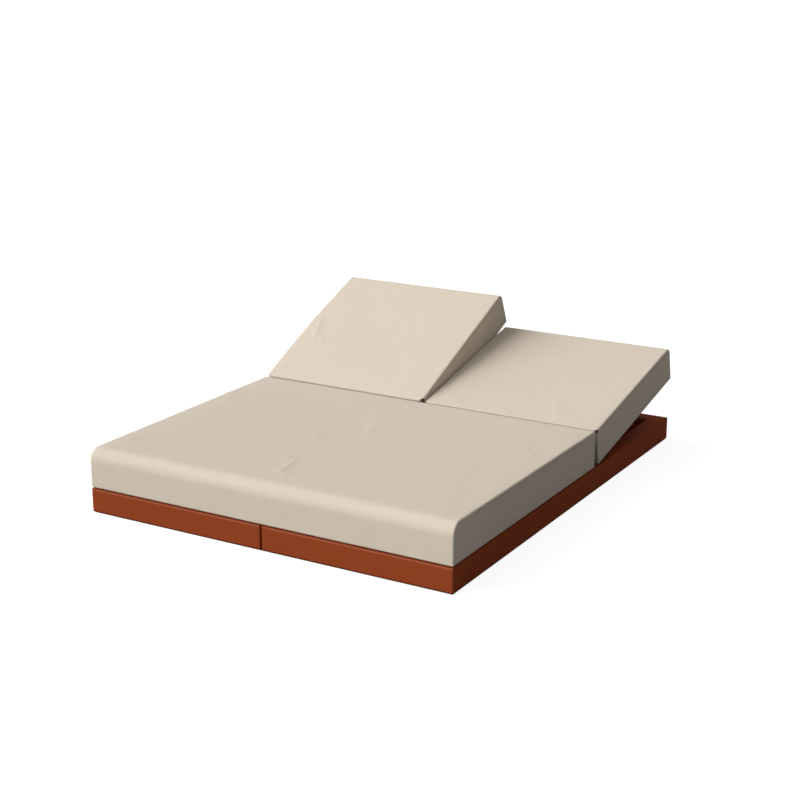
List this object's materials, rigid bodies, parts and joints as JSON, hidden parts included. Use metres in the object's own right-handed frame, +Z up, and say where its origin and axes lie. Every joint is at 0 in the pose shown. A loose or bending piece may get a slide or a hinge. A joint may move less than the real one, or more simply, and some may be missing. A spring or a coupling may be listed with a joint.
{
  "type": "double chaise lounger",
  "caption": "Low double garden lounger: two box-rail base modules, one wide seat cushion and two separately raised backs on notched stays.",
  "frame": {"origin": "on the floor, under the middle of the base, on the underside of the middle pad that bridges the two modules", "axes": "+X to the right across the lounger, +Y from the foot end towards the head end, +Z up"},
  "size_m": [1.6, 2.0144, 0.5733],
  "materials": {
    "rust_coat": "satin",
    "slat_wood": "satin",
    "outdoor_fabric": "matte",
    "black_nylon": "matte",
    "stainless": "satin"
  },
  "bodies": {
    "base": {"centre_pads": "black_nylon", "joining_bolts": "stainless", "joining_nuts": "stainless", "left_front_rail": "rust_coat", "left_glides": "black_nylon", "left_hinge_brackets": "rust_coat", "left_hinge_pins": "stainless", "left_inner_ledge": "rust_coat", "left_inner_rack": "rust_coat", "left_inner_rail": "rust_coat", "left_outer_ledge": "rust_coat", "left_outer_rack": "rust_coat", "left_outer_rail": "rust_coat", "left_rack_bars": "rust_coat", "left_rear_rail": "rust_coat", "left_seat_bar": "rust_coat", "left_seat_slats": "slat_wood", "module_spacers": "black_nylon", "right_front_rail": "rust_coat", "right_glides": "black_nylon", "right_hinge_brackets": "rust_coat", "right_hinge_pins": "stainless", "right_inner_ledge": "rust_coat", "right_inner_rack": "rust_coat", "right_inner_rail": "rust_coat", "right_outer_ledge": "rust_coat", "right_outer_rack": "rust_coat", "right_outer_rail": "rust_coat", "right_rack_bars": "rust_coat", "right_rear_rail": "rust_coat", "right_seat_bar": "rust_coat", "right_seat_slats": "slat_wood", "seat_cushion": "outdoor_fabric"},
    "left_backrest": {"left_back_front_bar": "rust_coat", "left_back_inner_tube": "rust_coat", "left_back_mid_bar": "rust_coat", "left_back_outer_tube": "rust_coat", "left_back_rear_bar": "rust_coat", "left_back_slats": "slat_wood", "left_back_tube_caps": "black_nylon", "left_hinge_bushes": "black_nylon", "left_stay_pins": "stainless"},
    "right_backrest": {"right_back_front_bar": "rust_coat", "right_back_inner_tube": "rust_coat", "right_back_mid_bar": "rust_coat", "right_back_outer_tube": "rust_coat", "right_back_rear_bar": "rust_coat", "right_back_slats": "slat_wood", "right_back_tube_caps": "black_nylon", "right_hinge_bushes": "black_nylon", "right_stay_pins": "stainless"},
    "left_stay": {"left_stay_foot_bar": "rust_coat", "left_stay_inner_arm": "rust_coat", "left_stay_outer_arm": "rust_coat"},
    "right_stay": {"right_stay_foot_bar": "rust_coat", "right_stay_inner_arm": "rust_coat", "right_stay_outer_arm": "rust_coat"},
    "left_cushion": {"left_back_cushion": "outdoor_fabric"},
    "right_cushion": {"right_back_cushion": "outdoor_fabric"}
  },
  "joints": [
    {"name": "left_back_tilt", "type": "hinge", "parent": "base", "child": "left_backrest", "pos_m": [0, 0.2295, 0.08], "axis": [1, 0, 0], "range_deg": [-23.45, 21.55]},
    {"name": "left_stay_fold", "type": "hinge", "parent": "left_backrest", "child": "left_stay", "pos_m": [0, 0.53064, 0.21063], "axis": [1, 0, 0], "range_deg": [-43.3, 47.1]},
    {"name": "left_cushion_slide", "type": "slide", "parent": "left_backrest", "child": "left_cushion", "axis": [0, 0.9174, 0.3979], "range_m": [-0.0725, 0.0667]},
    {"name": "right_back_tilt", "type": "hinge", "parent": "base", "child": "right_backrest", "pos_m": [0, 0.2295, 0.08], "axis": [1, 0, 0], "range_deg": [-12.15, 32.85]},
    {"name": "right_stay_fold", "type": "hinge", "parent": "right_backrest", "child": "right_stay", "pos_m": [0, 0.5504, 0.14909], "axis": [1, 0, 0], "range_deg": [-65.9, 24.5]},
    {"name": "right_cushion_slide", "type": "slide", "parent": "right_backrest", "child": "right_cushion", "axis": [0, 0.9776, 0.2105], "range_m": [-0.0378, 0.1014]}
  ],
  "couplings": [
    {"joint": "left_stay_fold", "follows": "left_back_tilt", "ratio": -2},
    {"joint": "left_cushion_slide", "follows": "left_back_tilt", "m_per_rad": 0.176},
    {"joint": "right_stay_fold", "follows": "right_back_tilt", "ratio": -2},
    {"joint": "right_cushion_slide", "follows": "right_back_tilt", "m_per_rad": 0.176}
  ]
}
